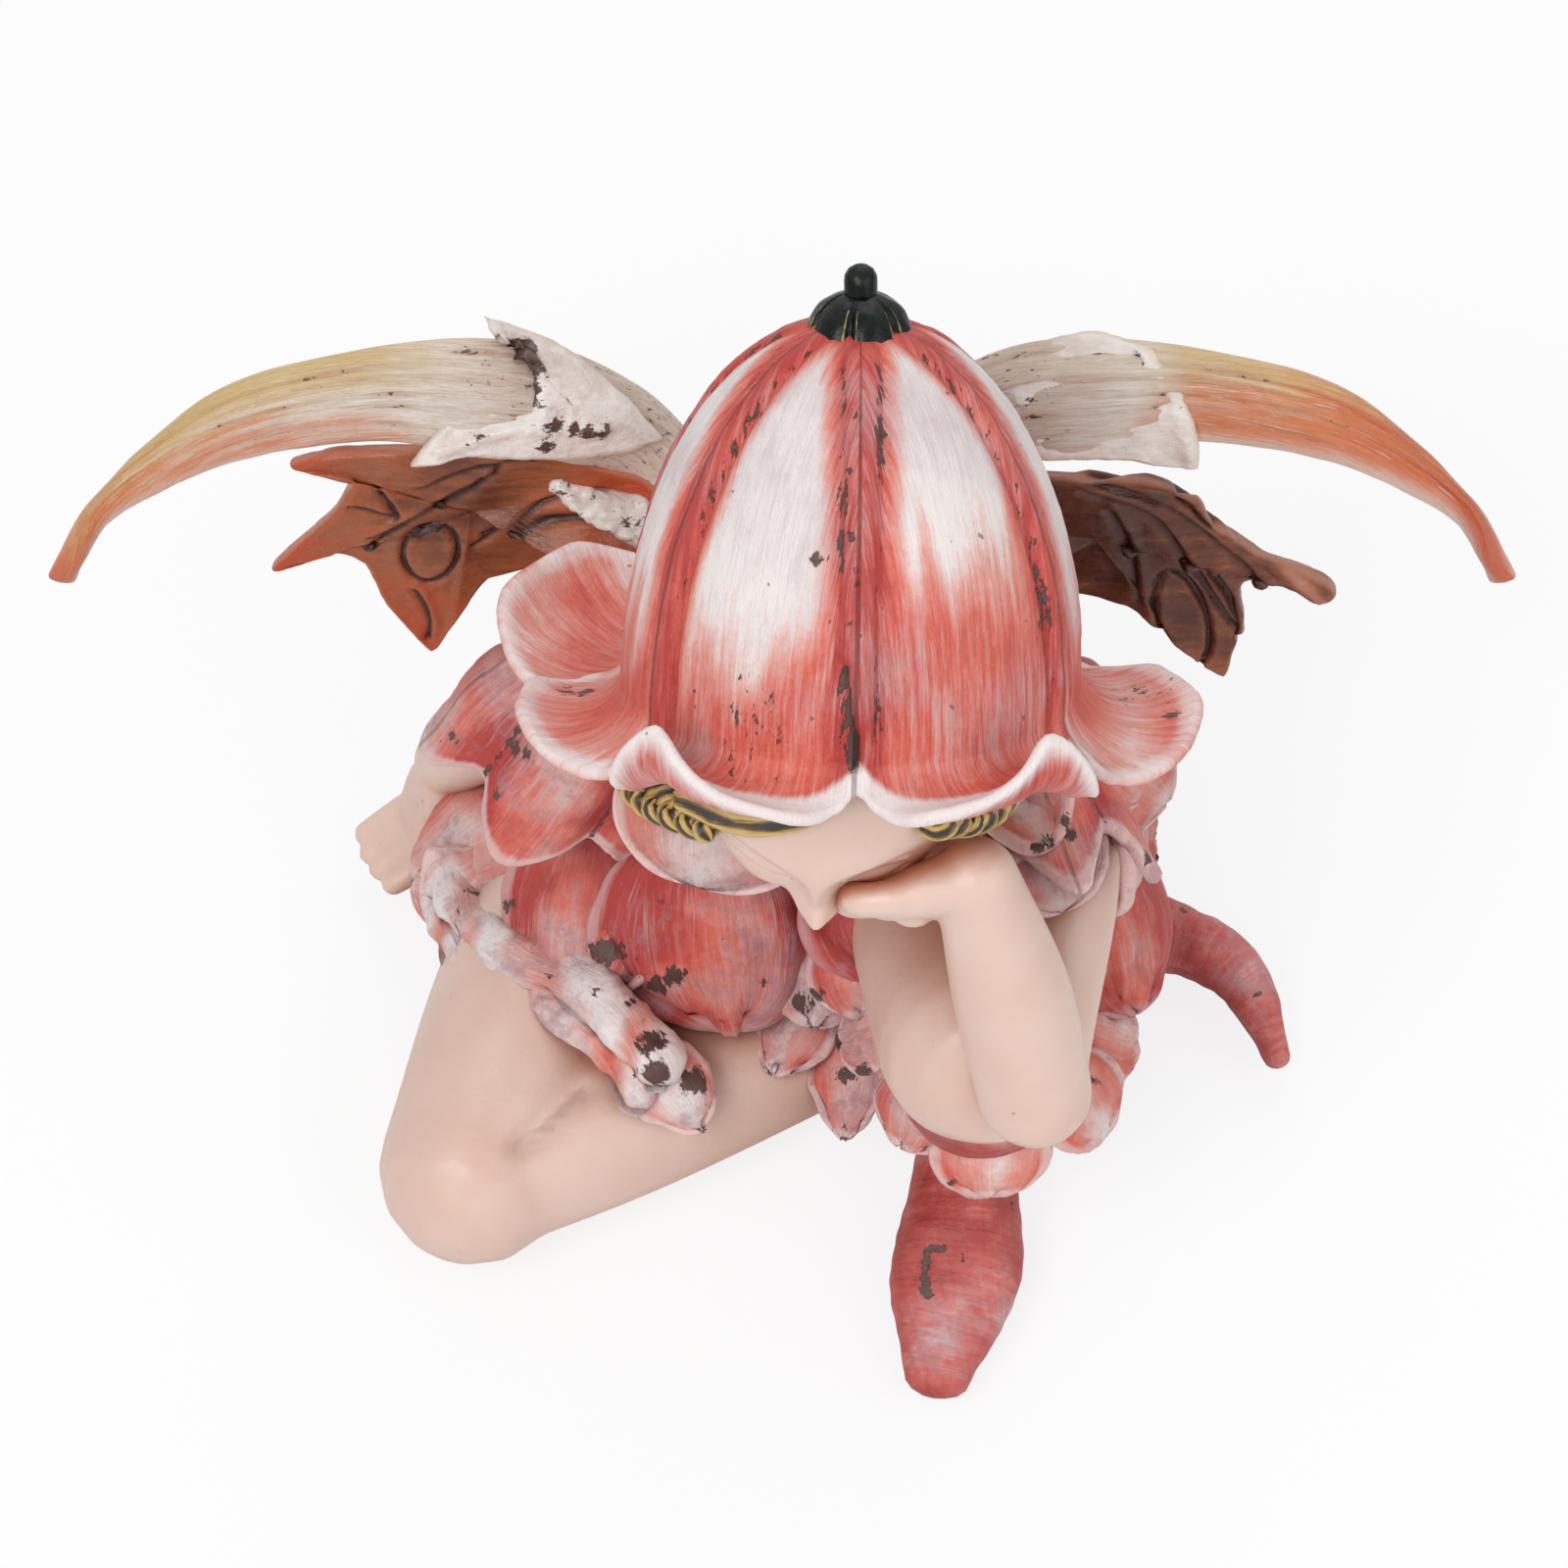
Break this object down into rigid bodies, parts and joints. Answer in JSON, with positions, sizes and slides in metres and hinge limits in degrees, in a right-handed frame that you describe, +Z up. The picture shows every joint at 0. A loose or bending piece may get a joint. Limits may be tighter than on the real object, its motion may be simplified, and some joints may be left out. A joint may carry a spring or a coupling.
{
  "type": "fairy figurine",
  "caption": "Seated fairy figurine in a petal dress with a bell flower hat, leaf wings and pointed boots, resting its head on one hand, one knee raised.",
  "frame": {"origin": "middle of the flat seat underside, on the surface the figurine stands on", "axes": "+X to the right of someone facing the figurine, along its wings; -Y toward that person; +Z up"},
  "size_m": [0.1484, 0.0912, 0.1254],
  "materials": {
    "painted_resin": "hand-painted cast resin, satin"
  },
  "bodies": {
    "root": {"figurine": "painted_resin"}
  },
  "joints": []
}
